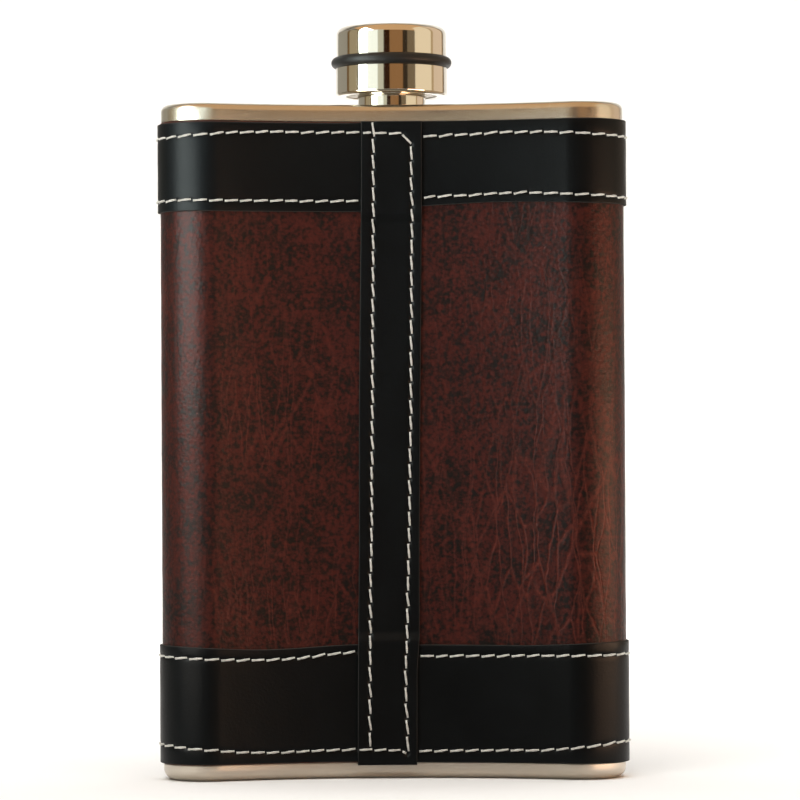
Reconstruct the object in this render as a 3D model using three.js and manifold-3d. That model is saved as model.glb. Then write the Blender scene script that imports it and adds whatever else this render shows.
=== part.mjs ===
// A leather-wrapped pocket flask in stainless steel, with a screw cap.
// Millimetres, +Z up. The origin is the centre of the footprint, on the plane the flask stands on.
// The concave back, which carries the seam of the leather, faces -Y; the convex front faces +Y.
import * as THREE from "three";
import { mergeVertices } from "three/addons/utils/BufferGeometryUtils.js";
import Module from "manifold-3d";

const wasm = await Module();
wasm.setup();
const half = Math.PI / 2;

// ---------------------------------------------------------------- driving dimensions
const bodyWidth = 93.3; // over the steel end plates
const bodyDepth = 27.4; // from the back edges of the two ends to the crown of the front
const bodyHeight = 135.95; // over the two end plates
const endRadius = 8.8; // round narrow ends, seen from above
const backHollow = 6.6; // how far the back curves in, so that it fits a hip

const sheet = 0.5; // steel sheet of the wall and end plates
const topEdgeRadius = 1.4; // pressed round edge of the top plate
const bottomEdgeRadius = 2.3; // and of the bottom plate
const wallSetback = 0.35; // the wall lies this far inside the end plates
const weldGap = 0.05; // between the wall and an end plate
const topSkirt = 3.9; // height of the top plate's side
const bottomSkirt = 3.15; // height of the bottom plate's side
const footRim = 3; // flat ring that the flask stands on
const footRecess = 0.8; // how far the middle of the bottom is pressed up

const leather = 0.5; // one layer of the wrap
const glue = 0.05; // between layers
const coverGap = 0.15; // between the wrap and the sides of the end plates
const topBandHeight = 17.7;
const bottomBandHeight = 23.1;
const coverButtGap = 0.6; // the ends of each sheet nearly meet at the middle of the back
const stripWidth = 12.2;
const stripLean = 1.6; // its lower end lies this far to the -X side of its upper end
const stripOverhang = 0.5; // the strip is a little longer than the wrap at the bottom
const stripStep = 2.5; // over this height the strip climbs onto a band

const threadRadius = 0.3; // sewing thread
const needleRadius = 0.14; // the thread where it dives into the leather
const stitchPitch = 3.2;
const topSeamInset = 2.5; // from the outer edge of a band to its seam
const innerSeamInset = 2.2; // from the inner edge of a band to its seam
const stripSeamInset = 2.3; // from the side of the strip to its seam
const stripSeamCorner = 2.6;

const neckCrest = 6.85; // radius over the neck's screw thread
const collarStep = 0.07; // the smooth part below it is this much larger in radius
const neckWall = 0.85; // from the bore to the root of the thread
const neckHeight = 8.65; // lip above the top plate
const neckStub = 1; // how far the neck reaches through the top plate
const collarHeight = 2.95; // smooth collar above the top plate, seen under the cap
const lipChamfer = 0.35;

const threadPitch = 1.5;
const threadDepth = 0.7;
const threadBase = 0.9; // width of a thread ridge at its foot
const threadTop = 0.25; // and at its crest
const threadRadialGap = 0.2; // from each crest to the other piece's root

const insertWall = 2.1; // outside the screw thread
const insertGap = 0.1;
const capWall = 2.1; // outside the insert
const capStep = 0.15; // the upper part of the cap is this much smaller in radius
const capHeight = 14.05;
const capGap = 2.45; // between the top plate and the cap
const capTop = 1.8;
const capEdgeRadius = 1.6;
const capRimChamfer = 0.55;
const ringSection = 1.12; // grip ring, radius of its round section
const ringHeight = 6.85; // above the lower edge of the cap
const ringSink = 0.08; // clearance of the ring in its groove
const ringProud = 1.1; // how far the ring stands out of the cap
const insertRecess = 0.2; // above the lower edge of the cap
const insertTop = 1;
const sealThickness = 1.2;
const sealGap = 0.05;
const sealRadius = 6.9;

const ARC_STEPS = 14; // steps on each of the five arcs of the outline
const ROUND_STEPS = 40; // steps round the neck and cap
const EDGE_STEPS = 3; // steps on a pressed edge
const TURN_STEPS = 24; // steps in one turn of a screw thread
const STRIP_STEPS = 8; // steps across the strip

// ---------------------------------------------------------------- the outline of the body, seen from above
const endX = bodyWidth / 2 - endRadius;
const endY = -bodyDepth / 2 + endRadius;
const backRadius = (endX ** 2 - 2 * endRadius * backHollow + backHollow ** 2) / (2 * backHollow);
const backCentreY = endY - (backRadius + endRadius - backHollow);
const crown = bodyDepth - endRadius;
const frontRadius = (endX ** 2 + crown ** 2 - endRadius ** 2) / (2 * (crown - endRadius));
const frontCentreY = endY - (frontRadius - crown);
const backAngle = Math.atan2(endY - backCentreY, endX); // where the back meets an end
const frontAngle = Math.atan2(endY - frontCentreY, endX);
const neckY = backHollow / 2; // the neck is in the middle of the thickness

// Five tangent arcs, anticlockwise from the middle of the back, moved out by offset.
function bodyOutline(offset) {
  const end = endRadius + offset;
  const path = new THREE.CurvePath();
  const half = Math.PI / 2;
  const arc = (x, y, r, from, to, clockwise) =>
    path.add(new THREE.EllipseCurve(x, y, r, r, from, to, clockwise));
  arc(0, backCentreY, backRadius - offset, half, backAngle, true);
  arc(endX, endY, end, backAngle - Math.PI, frontAngle, false);
  arc(0, frontCentreY, frontRadius + offset, frontAngle, Math.PI - frontAngle, false);
  arc(-endX, endY, end, Math.PI - frontAngle, 2 * Math.PI - backAngle, false);
  arc(0, backCentreY, backRadius - offset, Math.PI - backAngle, half, true);
  return path;
}

// The outline as points, without the doubles where two arcs meet.
function outlinePoints(offset) {
  const points = bodyOutline(offset).getPoints(ARC_STEPS / 2);
  return points.filter((p, i) => p.distanceTo(points[(i + 1) % points.length]) > 1e-6);
}

// Y of the back at a given x, moved out by offset.
function backY(x, offset) {
  return backCentreY + Math.sqrt((backRadius - offset) ** 2 - x ** 2);
}

// ---------------------------------------------------------------- making and joining solids
// A slab of the body's outline, moved out by offset. A bevel rounds its upper and lower edges.
function slab(offset, low, high, bevel = 0) {
  return new THREE.ExtrudeGeometry(new THREE.Shape(outlinePoints(offset - bevel)), {
    depth: high - low - 2 * bevel,
    bevelEnabled: bevel > 0,
    bevelThickness: bevel,
    bevelSize: bevel,
    bevelSegments: EDGE_STEPS,
  }).translate(0, 0, low + bevel);
}

// A sleeve round the body, between two offsets of its outline.
function sleeve(outer, inner, low, high) {
  const ring = new THREE.Shape(outlinePoints(outer));
  ring.holes.push(new THREE.Path(outlinePoints(inner)));
  return new THREE.ExtrudeGeometry(ring, { depth: high - low, bevelEnabled: false }).translate(0, 0, low);
}

// A straight bar with a polygon section, bent by moving each of its points to place(x, y, u),
// where x and y are measured on the section and u runs from 0 to 1 along the bar.
function bentBar(section, steps, place) {
  const shape = new THREE.Shape(section.map(([x, y]) => new THREE.Vector2(x, y)));
  const bar = new THREE.ExtrudeGeometry(shape, { depth: 1, steps, bevelEnabled: false });
  const at = bar.attributes.position;
  for (let i = 0; i < at.count; i++) {
    const { x, y, z } = place(at.getX(i), at.getY(i), at.getZ(i));
    at.setXYZ(i, x, y, z);
  }
  return bar;
}

function manifold(geometry) {
  const bare = geometry.clone();
  bare.deleteAttribute("normal");
  bare.deleteAttribute("uv");
  const merged = mergeVertices(bare, 1e-4);
  const mesh = new wasm.Mesh({
    numProp: 3,
    vertProperties: new Float32Array(merged.attributes.position.array),
    triVerts: new Uint32Array(merged.index.array),
  });
  return new wasm.Manifold(mesh);
}

function geometryOf(made) {
  const mesh = made.getMesh();
  const points = [];
  for (let i = 0; i < mesh.numVert; i++) {
    points.push(...mesh.vertProperties.subarray(i * mesh.numProp, i * mesh.numProp + 3));
  }
  return new THREE.BufferGeometry()
    .setAttribute("position", new THREE.Float32BufferAttribute(points, 3))
    .setIndex([...mesh.triVerts])
    .toNonIndexed();
}

function cut(geometry, ...tools) {
  return geometryOf(tools.reduce((made, tool) => made.subtract(manifold(tool)), manifold(geometry)));
}

function join(geometry, other) {
  return geometryOf(manifold(geometry).add(manifold(other)));
}

// A closed profile of [r, z] points turned about the neck's axis.
function turned(profile) {
  const points = profile.map(([r, z]) => new THREE.Vector2(r, z));
  const lathe = new THREE.LatheGeometry([...points, points[0].clone()], ROUND_STEPS);
  return lathe.rotateX(Math.PI / 2).toNonIndexed();
}

// One ridge of screw thread about the z axis, from z to zEnd, with ends that run out into the root.
function threadRidge(root, crest, z, zEnd, phase) {
  const turns = (zEnd - z) / threadPitch;
  const steps = Math.round(turns * TURN_STEPS);
  const sunk = Math.sign(root - crest) * 0.25; // its foot is sunk in, so that it joins
  const section = [
    [-threadBase / 2, 0],
    [threadBase / 2, 0],
    [threadTop / 2, 1],
    [-threadTop / 2, 1],
  ];
  // A ridge that points inwards is a mirror image, so its section is wound the other way.
  return bentBar(section, steps, (dz, tip, u) => {
    const angle = phase + turns * 2 * Math.PI * u;
    const runOut = Math.min(1, (u * steps) / 4, ((1 - u) * steps) / 4);
    const r = tip > 0 ? root + (crest - root) * Math.max(0.02, runOut) : root + sunk;
    const up = crest > root ? dz : -dz;
    return new THREE.Vector3(r * Math.cos(angle), r * Math.sin(angle), z + (zEnd - z) * u + up);
  });
}

// A row of stitches: one thread, full between the needle holes and drawn thin at each of them.
// place(u) gives the point on the leather, the outward normal and the direction of the seam.
function stitching(length, place) {
  const section = [90, 210, 330].map((degrees) => {
    const a = THREE.MathUtils.degToRad(degrees);
    return [Math.cos(a), Math.sin(a)];
  });
  const stitches = Math.round(length / stitchPitch);
  return bentBar(section, 2 * stitches, (x, y, u) => {
    const r = Math.round(2 * stitches * u) % 2 ? threadRadius : needleRadius;
    const { point, normal, along } = place(u);
    const side = new THREE.Vector3().crossVectors(normal, along);
    return point.clone().addScaledVector(side, r * x).addScaledVector(normal, glue + r + r * y);
  });
}

const flask = new THREE.Group();

function addPart(name, geometry, material, z = 0, y = 0) {
  geometry.deleteAttribute("uv");
  geometry.computeVertexNormals();
  const mesh = new THREE.Mesh(geometry, material);
  mesh.name = name;
  mesh.position.set(0, y, z);
  flask.add(mesh);
  return mesh;
}

const polishedSteel = new THREE.MeshStandardMaterial({ color: 0xcfc8bb, roughness: 0.14, metalness: 1 });
const brushedSteel = new THREE.MeshStandardMaterial({ color: 0xb9b0a3, roughness: 0.3, metalness: 1 });
const brownLeather = new THREE.MeshStandardMaterial({ color: 0x42160f, roughness: 0.5, metalness: 0 });
const blackLeather = new THREE.MeshStandardMaterial({ color: 0x14130f, roughness: 0.45, metalness: 0 });
const creamThread = new THREE.MeshStandardMaterial({ color: 0xd9d4c6, roughness: 0.7, metalness: 0 });
const blackRubber = new THREE.MeshStandardMaterial({ color: 0x131312, roughness: 0.5, metalness: 0 });
const whiteSilicone = new THREE.MeshStandardMaterial({ color: 0xe4e2da, roughness: 0.6, metalness: 0 });

// ---------------------------------------------------------------- steel body
const neckRoot = neckCrest - threadDepth;
const neckCollar = neckCrest + collarStep;
const neckBore = neckRoot - neckWall;
const wallOut = -wallSetback;
const wallBottom = bottomSkirt + weldGap;
const wallTop = bodyHeight - topSkirt - weldGap;

// The wall is one strip of sheet bent into a tube.
function bodyWall() {
  return sleeve(wallOut, wallOut - sheet, wallBottom, wallTop);
}

// The top is pressed from flat sheet, with a round edge, a short side and a hole for the neck.
function topPlate() {
  const skirtEnd = bodyHeight - topSkirt;
  const outside = slab(0, skirtEnd - topEdgeRadius, bodyHeight, topEdgeRadius);
  const inside = slab(-sheet, skirtEnd - bodyHeight, bodyHeight - sheet, topEdgeRadius - sheet);
  const below = slab(bodyDepth, -bodyHeight, skirtEnd);
  const hole = new THREE.CylinderGeometry(
    neckCollar + insertGap, neckCollar + insertGap, 4 * sheet, ROUND_STEPS,
  ).rotateX(half).translate(0, neckY, bodyHeight);
  return cut(outside, inside, below, hole);
}

// The bottom is pressed the same way, and its middle is pressed up so that it stands on a rim.
function bottomPlate() {
  const foot = -bottomEdgeRadius - footRim;
  const outside = slab(0, 0, bottomSkirt + bottomEdgeRadius, bottomEdgeRadius);
  const inside = slab(-sheet, sheet, bodyHeight, bottomEdgeRadius - sheet);
  const above = slab(bodyDepth, bottomSkirt, bodyHeight);
  const raised = slab(foot + sheet / 2, -sheet, footRecess + sheet);
  const recess = slab(foot, -footRecess, footRecess, footRecess / 2);
  return cut(outside, cut(inside, raised), above, recess);
}

addPart("body_wall", bodyWall(), brushedSteel);
addPart("top_plate", topPlate(), polishedSteel);
addPart("bottom_plate", bottomPlate(), brushedSteel);

// ---------------------------------------------------------------- neck, on the top plate
const threadStart = collarHeight + threadBase; // middle of the lowest ridge, above the top plate
const threadEnd = neckHeight - 2 * lipChamfer - threadTop;

// Turned from tube, with a smooth collar, welded into the plate, and a screw thread.
function neck() {
  const tube = turned([
    [neckBore, -sheet - neckStub],
    [neckCollar, -sheet - neckStub],
    [neckCollar, collarHeight - lipChamfer],
    [neckCollar - lipChamfer, collarHeight],
    [neckRoot, collarHeight],
    [neckRoot, neckHeight - lipChamfer],
    [neckRoot - lipChamfer, neckHeight],
    [neckBore, neckHeight],
  ]);
  return join(tube, threadRidge(neckRoot, neckCrest, threadStart, threadEnd, 0));
}

addPart("threaded_neck", neck(), polishedSteel, bodyHeight, neckY);

// ---------------------------------------------------------------- cap
const capZ = bodyHeight + capGap;
const lipInCap = neckHeight - capGap; // the lip, above the lower edge of the cap
const sealZ = lipInCap + sealGap;
const insertRoof = sealZ + sealThickness + sealGap;
const insertRoot = neckCrest + threadRadialGap;
const insertOut = insertRoot + insertWall;
const insertCrest = neckRoot + threadRadialGap;
const capBore = insertOut + insertGap;
const capRadius = capBore + capWall;
const capUpperRadius = capRadius - capStep;

// The outer cap is turned, open below, with a round upper edge and a groove for the grip ring.
function capShell() {
  const grooveHalf = ringSection + ringSink;
  const floor = capUpperRadius + ringProud - 2 * ringSection - ringSink;
  const edgeZ = capHeight - capEdgeRadius;
  const edge = [0, 1, 2, 3, 4].map((i) => {
    const a = (half * i) / 4;
    return [capUpperRadius - capEdgeRadius * (1 - Math.cos(a)), edgeZ + capEdgeRadius * Math.sin(a)];
  });
  return turned([
    [capBore, 0],
    [capRadius - capRimChamfer, 0],
    [capRadius, capRimChamfer],
    [capRadius, ringHeight - grooveHalf],
    [floor, ringHeight - grooveHalf],
    [floor, ringHeight + grooveHalf],
    [capUpperRadius, ringHeight + grooveHalf],
    ...edge,
    [0, capHeight],
    [0, capHeight - capTop],
    [capBore, capHeight - capTop],
  ]);
}

// The insert is pressed into the cap, carries the screw thread, and holds the seal under its roof.
function threadInsert() {
  const sealSeat = Math.max(sealRadius + insertGap, insertRoot);
  const bush = turned([
    [insertRoot + 0.3, insertRecess],
    [insertOut, insertRecess],
    [insertOut, insertRoof + insertTop],
    [0, insertRoof + insertTop],
    [0, insertRoof],
    [sealSeat, insertRoof],
    [sealSeat, sealZ],
    [insertRoot, sealZ],
    [insertRoot, insertRecess + 0.3],
  ]);
  // The insert's ridge lies half a pitch from the neck's, clear of the collar below and the seal above.
  const lowest = collarHeight - capGap + threadBase / 2 + threadRadialGap;
  const highest = sealZ - threadBase / 2 - insertGap;
  const phase = ((lowest - (threadStart - capGap) + threadPitch / 2) / threadPitch) * 2 * Math.PI;
  return join(bush, threadRidge(insertRoot, insertCrest, lowest, highest, phase));
}

function gripRing() {
  const middle = capUpperRadius + ringProud - ringSection;
  return new THREE.TorusGeometry(middle, ringSection, 10, ROUND_STEPS).toNonIndexed();
}

function sealDisc() {
  return new THREE.CylinderGeometry(sealRadius, sealRadius, sealThickness, ROUND_STEPS).rotateX(half).toNonIndexed();
}

addPart("cap_shell", capShell(), polishedSteel, capZ, neckY);
addPart("cap_thread_insert", threadInsert(), brushedSteel, capZ, neckY);
addPart("cap_grip_ring", gripRing(), blackRubber, capZ + ringHeight, neckY);
addPart("cap_seal", sealDisc(), whiteSilicone, capZ + sealZ + sealThickness / 2, neckY);

// ---------------------------------------------------------------- leather wrap
const coverIn = wallOut + glue;
const coverOut = coverIn + leather;
const bandIn = coverOut + glue;
const bandOut = bandIn + leather;
const coverBottom = bottomSkirt + coverGap;
const coverTop = bodyHeight - topSkirt - coverGap;
const topBandBottom = coverTop - topBandHeight;
const bottomBandTop = coverBottom + bottomBandHeight;

// A sheet of leather wrapped round the body, whose ends stop just short of each other at the back.
function wrap(inner, outer, low, high) {
  const slit = new THREE.BoxGeometry(coverButtGap, bodyDepth, 3 * bodyHeight);
  return cut(sleeve(outer, inner, low, high), slit.translate(0, -bodyDepth / 2, 0));
}

addPart("brown_leather_cover", wrap(coverIn, coverOut, coverBottom, coverTop), brownLeather);
addPart("top_leather_band", wrap(bandIn, bandOut, topBandBottom, coverTop), blackLeather);
addPart("bottom_leather_band", wrap(bandIn, bandOut, coverBottom, bottomBandTop), blackLeather);

// ---------------------------------------------------------------- strip over the ends of the wrap
const stripBottom = coverBottom - stripOverhang;
const onBand = bandOut + glue;
const onCover = coverOut + glue;
const stripLevels = [
  [stripBottom, onBand],
  [bottomBandTop + glue, onBand],
  [bottomBandTop + stripStep, onCover],
  [topBandBottom - stripStep, onCover],
  [topBandBottom - glue, onBand],
  [coverTop, onBand],
];

// How far the strip's inner face lies out of the body's outline, at a height.
function stripInner(z) {
  const i = Math.max(1, stripLevels.findIndex(([top]) => z <= top));
  const [z0, offset0] = stripLevels[i - 1];
  const [z1, offset1] = stripLevels[i];
  return offset0 + ((offset1 - offset0) * (z - z0)) / (z1 - z0);
}

// How far the middle of the strip lies to the +X side of the body's middle, at a height.
function stripX(z) {
  return (stripLean * (z - coverTop)) / (coverTop - coverBottom);
}

function seamStrip() {
  const section = [
    ...stripLevels.map(([z, offset]) => [-offset, z]),
    ...stripLevels.toReversed().map(([z, offset]) => [-offset - leather, z]),
  ];
  return bentBar(section, STRIP_STEPS, (inward, z, u) => {
    const x = stripX(z) + stripWidth * (u - 0.5);
    return new THREE.Vector3(x, backY(x, -inward), z);
  });
}

addPart("back_seam_strip", seamStrip(), blackLeather);

// ---------------------------------------------------------------- sewing
// A seam round a band, from one side of the strip round the front to the other.
function bandSeam(z) {
  const path = bodyOutline(bandOut);
  const length = path.getLength();
  const clear = stripWidth / 2 + 2 * threadRadius;
  const start = (clear + stripX(z)) / length;
  const end = 1 - (clear - stripX(z)) / length;
  return stitching(length * (end - start), (u) => {
    const point = path.getPointAt(start + (end - start) * u);
    const tangent = path.getTangentAt(start + (end - start) * u);
    return {
      point: new THREE.Vector3(point.x, point.y, z),
      normal: new THREE.Vector3(tangent.y, -tangent.x, 0),
      along: new THREE.Vector3(tangent.x, tangent.y, 0),
    };
  });
}

addPart("top_band_upper_stitching", bandSeam(coverTop - topSeamInset), creamThread);
addPart("top_band_lower_stitching", bandSeam(topBandBottom + innerSeamInset), creamThread);
addPart("bottom_band_upper_stitching", bandSeam(bottomBandTop - innerSeamInset), creamThread);
addPart("bottom_band_lower_stitching", bandSeam(coverBottom + topSeamInset), creamThread);

// The strip is sewn down along both sides, across its lower end and, round a corner, across its upper end.
function stripSeam() {
  const side = stripWidth / 2 - stripSeamInset;
  const low = coverBottom + topSeamInset;
  const high = coverTop - topSeamInset;
  const seam = new THREE.Path().moveTo(-side, low + stitchPitch / 2).lineTo(-side, high);
  seam.lineTo(side - stripSeamCorner, high).quadraticCurveTo(side, high, side, high - stripSeamCorner);
  seam.lineTo(side, low).lineTo(-side + stitchPitch / 2, low);
  return stitching(seam.getLength(), (u) => {
    const { x, y: z } = seam.getPointAt(u);
    const tangent = seam.getTangentAt(u);
    const offset = stripInner(z) + leather;
    const middle = x + stripX(z);
    const normal = new THREE.Vector3(-middle, backCentreY - backY(middle, offset), 0).normalize();
    const across = new THREE.Vector3(-normal.y, normal.x, 0);
    return {
      point: new THREE.Vector3(middle, backY(middle, offset), z),
      normal,
      along: new THREE.Vector3(0, 0, tangent.y).addScaledVector(across, tangent.x),
    };
  });
}

addPart("seam_strip_stitching", stripSeam(), creamThread);

export default flask;
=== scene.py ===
# A pocket flask of stainless steel in a stitched leather wrap, on a pale floor.
# Metres throughout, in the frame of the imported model: +Z up, the concave stitched back towards -Y.
import math

import bmesh
import bpy
import numpy as np
from mathutils import Matrix, Vector


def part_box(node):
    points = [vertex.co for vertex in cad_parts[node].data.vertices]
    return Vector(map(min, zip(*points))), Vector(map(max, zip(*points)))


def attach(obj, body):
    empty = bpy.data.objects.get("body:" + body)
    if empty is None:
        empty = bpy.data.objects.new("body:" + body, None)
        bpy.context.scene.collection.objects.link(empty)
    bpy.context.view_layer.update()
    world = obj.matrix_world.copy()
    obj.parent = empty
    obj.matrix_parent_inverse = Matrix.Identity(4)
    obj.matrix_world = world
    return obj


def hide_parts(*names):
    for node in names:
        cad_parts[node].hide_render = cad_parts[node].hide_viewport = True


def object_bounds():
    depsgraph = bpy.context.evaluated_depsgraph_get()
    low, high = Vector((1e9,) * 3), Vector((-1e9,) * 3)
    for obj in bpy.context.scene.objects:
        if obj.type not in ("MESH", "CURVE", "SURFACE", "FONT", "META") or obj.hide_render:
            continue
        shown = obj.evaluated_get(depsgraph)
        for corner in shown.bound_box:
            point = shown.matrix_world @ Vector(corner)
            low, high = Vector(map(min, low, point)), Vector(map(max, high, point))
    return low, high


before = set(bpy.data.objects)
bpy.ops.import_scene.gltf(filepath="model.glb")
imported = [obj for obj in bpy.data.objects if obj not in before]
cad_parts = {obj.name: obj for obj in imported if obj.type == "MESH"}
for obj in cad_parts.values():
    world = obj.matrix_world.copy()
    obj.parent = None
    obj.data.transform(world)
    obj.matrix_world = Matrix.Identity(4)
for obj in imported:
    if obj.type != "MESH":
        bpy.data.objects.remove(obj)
cad_low, cad_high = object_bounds()
scene = bpy.context.scene
MM = 0.001

# ---------------- camera
# Level with the middle of the flask, squarely behind its concave back, rolled a very little.
camera_distance = 775 * MM  # in front of the middle of the thickness
camera_right = 1.4 * MM
camera_height = 68.2 * MM
camera_pitch = math.radians(0.60)
camera_roll = math.radians(-0.31)
camera_lens = 171.4  # on a sensor 36 mm wide


def new_object(name, data):
    """An object in the scene that holds the data."""
    thing = bpy.data.objects.new(name, data)
    scene.collection.objects.link(thing)
    return thing


camera = new_object("camera", bpy.data.cameras.new("camera"))
camera.data.lens = camera_lens
camera.data.clip_start = 10 * MM
camera.matrix_world = (
    Matrix.Translation((camera_right, -camera_distance, camera_height))
    @ Matrix.Rotation(math.radians(90) + camera_pitch, 4, "X")
    @ Matrix.Rotation(camera_roll, 4, "Z")
)
scene.camera = camera

# ---------------- stage
# A pale floor that sweeps up behind the flask, a large soft light overhead and a soft one in front.
# Cards to the sides and behind the camera give the polished steel something to show.
scene.view_settings.view_transform = "Standard"


def srgb(colour):
    """Linear red, green, blue and alpha of a hex colour."""
    channels = [int(colour[i : i + 2], 16) / 255 for i in (0, 2, 4)]
    return [c / 12.92 if c <= 0.04045 else ((c + 0.055) / 1.055) ** 2.4 for c in channels] + [1.0]


def add(tree, kind, sockets=None, **settings):
    """One node with its settings. A socket gets a value, or a link from an output or from a node,
    which stands for its first output in use."""
    node = tree.nodes.new(kind)
    for name, value in settings.items():
        setattr(node, name, value)
    for name, value in (sockets or {}).items():
        if isinstance(value, bpy.types.Node):
            value = next(output for output in value.outputs if output.enabled)
        if isinstance(value, bpy.types.NodeSocket):
            tree.links.new(value, node.inputs[name])
        else:
            node.inputs[name].default_value = value
    return node


def new_material(name):
    """An empty material and its node tree."""
    material = bpy.data.materials.new(name)
    material.use_nodes = True
    material.node_tree.nodes.clear()
    return material, material.node_tree


def set_points(mesh, label, kind, values):
    """A new attribute of the mesh, with a number or a vector for each point."""
    attribute = mesh.attributes.new(label, kind, "POINT")
    values = np.asarray(values, np.float32).ravel()
    attribute.data.foreach_set("value" if kind == "FLOAT" else "vector", values)


def mesh_piece(name, points, faces, material, uvs=None, cut=None):
    """A mesh object, smooth except where it turns sharply. uvs and cut have a value for each point."""
    mesh = bpy.data.meshes.new(name)
    mesh.from_pydata([tuple(p) for p in points], [], faces)
    if uvs is not None:
        layer = mesh.uv_layers.new(name="surface")
        corners = np.empty(len(mesh.loops), np.int32)
        mesh.loops.foreach_get("vertex_index", corners)
        layer.data.foreach_set("uv", np.asarray(uvs, np.float32)[corners].ravel())
    if cut is not None:
        set_points(mesh, "cut_edge_and_highlight", "FLOAT", cut)
    mesh.materials.append(material)
    mesh.shade_smooth()
    mesh.set_sharp_from_angle(angle=math.radians(50))
    return new_object(name, mesh)


floor_paint, tree = new_material("matt_floor_paint")
shader = add(tree, "ShaderNodeBsdfDiffuse", {"Color": srgb("f4f3f1"), "Roughness": 1.0})
add(tree, "ShaderNodeOutputMaterial", {"Surface": shader})

room_size = 4.0  # how far the floor reaches to the front and the sides, and the height of the walls
sweep_radius = 0.5
sweep_start = 1.1
turn = np.linspace(0, math.pi / 2, 16)
profile = [(-room_size, 0.0)]
profile += [(sweep_start + sweep_radius * math.sin(a), sweep_radius * (1 - math.cos(a))) for a in turn]
profile += [(sweep_start + sweep_radius, room_size)]
points = [(x, y, z) for x in (-room_size, room_size) for y, z in profile]
count = len(profile)
faces = [(i, count + i, count + i + 1, i + 1) for i in range(count - 1)]
mesh_piece("floor", points, faces, floor_paint)

# The room is bright behind the flask, dim and brown behind the camera, and a little lighter above.
world = bpy.data.worlds.new("studio")
world.use_nodes = True
tree = world.node_tree
heading = add(tree, "ShaderNodeTexCoord").outputs["Generated"]
parts = add(tree, "ShaderNodeSeparateXYZ", {0: heading})
behind = {"Value": parts.outputs["Y"], "From Min": -0.1, "From Max": 0.5}
above = {"Value": parts.outputs["Z"], "From Min": 0.45, "From Max": 1.0}
back_share = add(tree, "ShaderNodeMapRange", behind)
up_share = add(tree, "ShaderNodeMapRange", above)
colours = {"Factor": up_share, "A": srgb("2c2722"), "B": srgb("b09774")}
room = add(tree, "ShaderNodeMix", colours, data_type="RGBA")
colours = {"Factor": back_share, "A": room, "B": srgb("cfcbc3")}
room = add(tree, "ShaderNodeMix", colours, data_type="RGBA")
tree.links.new(room.outputs["Result"], tree.nodes["Background"].inputs["Color"])
scene.world = world


def soft_light(name, place, size, aim, watts):
    """A square area light at place, turned to aim. The steel doesn't mirror it."""
    light = bpy.data.lights.new(name, "AREA")
    light.size = size
    light.energy = watts
    lamp = new_object(name, light)
    lamp.location = place
    lamp.visible_glossy = False
    lamp.rotation_euler = (Vector(aim) - Vector(place)).to_track_quat("-Z", "Y").to_euler()


middle = (cad_low + cad_high) / 2
soft_light("overhead_light", (0.0, -0.1, 1.5), 1.6, middle, 26)
soft_light("front_light", (-0.5, -1.3, 1.1), 1.0, middle, 6)
soft_light("backdrop_light", (0.0, 0.5, 1.3), 1.2, (0.0, 1.6, 0.3), 14)


def glowing(name, colour, strength):
    """A material that only glows."""
    material, tree = new_material(name)
    glow = add(tree, "ShaderNodeEmission", {"Color": srgb(colour), "Strength": strength})
    add(tree, "ShaderNodeOutputMaterial", {"Surface": glow})
    return material


# A pale round wall closes the room on the other sides. It is seen, but it neither lights nor shows
# in the steel.
wall_radius = 3.8
wall_sides = 64

turn = np.linspace(0, 2 * math.pi, wall_sides, endpoint=False)
points = [(wall_radius * math.cos(a), wall_radius * math.sin(a), z) for z in (0.0, room_size) for a in turn]
pairs = [(i, (i + 1) % wall_sides) for i in range(wall_sides)]
faces = [(i, k, k + wall_sides, i + wall_sides) for i, k in pairs]
wall = mesh_piece("round_wall", points, faces, glowing("pale_wall_paint", "f3f2ef", 1.0))
wall.visible_diffuse = False
wall.visible_glossy = False
wall.visible_shadow = False


def level(half_width, front, back, height):
    """The corners of a level card."""
    corners = (-half_width, front), (half_width, front), (half_width, back), (-half_width, back)
    return [(x, y, height) for x, y in corners]


# The cards glow and show only in reflections. Upright ones stand side by side in rows: for each row
# the (x, y) marks between them, its lowest and highest z, and each card's name, colour and strength.
left_cards = [("left_tan_card", "b0a284", 1.0), ("left_umber_card", "7a6040", 1.0)]
left_cards += [("left_grey_card", "a8a498", 1.0)]
right_cards = [("cream_card", "ead8ba", 1.3), ("tan_card", "c8ad84", 1.0), ("rose_card", "e4ccb2", 1.15)]
right_cards += [("umber_line_card", "8a7350", 1.0)]
far_cards = [("left_brown_card", "8c7353", 1.0), ("umber_card", "33190a", 1.0)]
far_cards += [("brown_card", "a1774e", 1.0), ("dark_card", "3c3226", 1.0), ("grey_card", "85745c", 1.0)]
card_rows = [
    ([(-0.065, -0.1), (-0.15, -0.055)], 0.08, 0.125, [("low_white_card", "eef9f5", 14.0)]),
    ([(-0.06, -0.1), (-0.13, -0.06)], 0.015, 0.08, [("dim_white_card", "f4ece0", 5.0)]),
    ([(-0.031, -0.06), (-0.075, -0.06)], 0.136, 0.17, [("small_white_card", "f4fcf6", 1.5)]),
    ([(-0.0165, -0.06), (-0.031, -0.06)], 0.136, 0.17, [("pale_card", "d9d8c4", 1.0)]),
    ([(-0.32, y) for y in (-0.09, 0.044, 0.084, 0.54)], 0.0, 0.3, left_cards),
    ([(0.535, y) for y in (-0.442, 0.014, 0.075, 0.499, 0.638)], 0.0, 0.9, right_cards),
    ([(0.26, -0.38), (0.26, 0.0)], 0.055, 0.09, [("orange_card", "ffc096", 9.5)]),
    ([(0.26, -0.38), (0.26, 0.0)], 0.027, 0.055, [("low_orange_card", "ffd2ae", 19.0)]),
    ([(x, -1.0) for x in (-1.4, -0.28, -0.06, 0.442, 0.67, 1.18)], 0.12, 0.42, far_cards),
    ([(-0.014, -0.06), (0.012, -0.06)], 0.133, 0.1405, [("plate_card", "a09483", 1.0)]),
]
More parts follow.
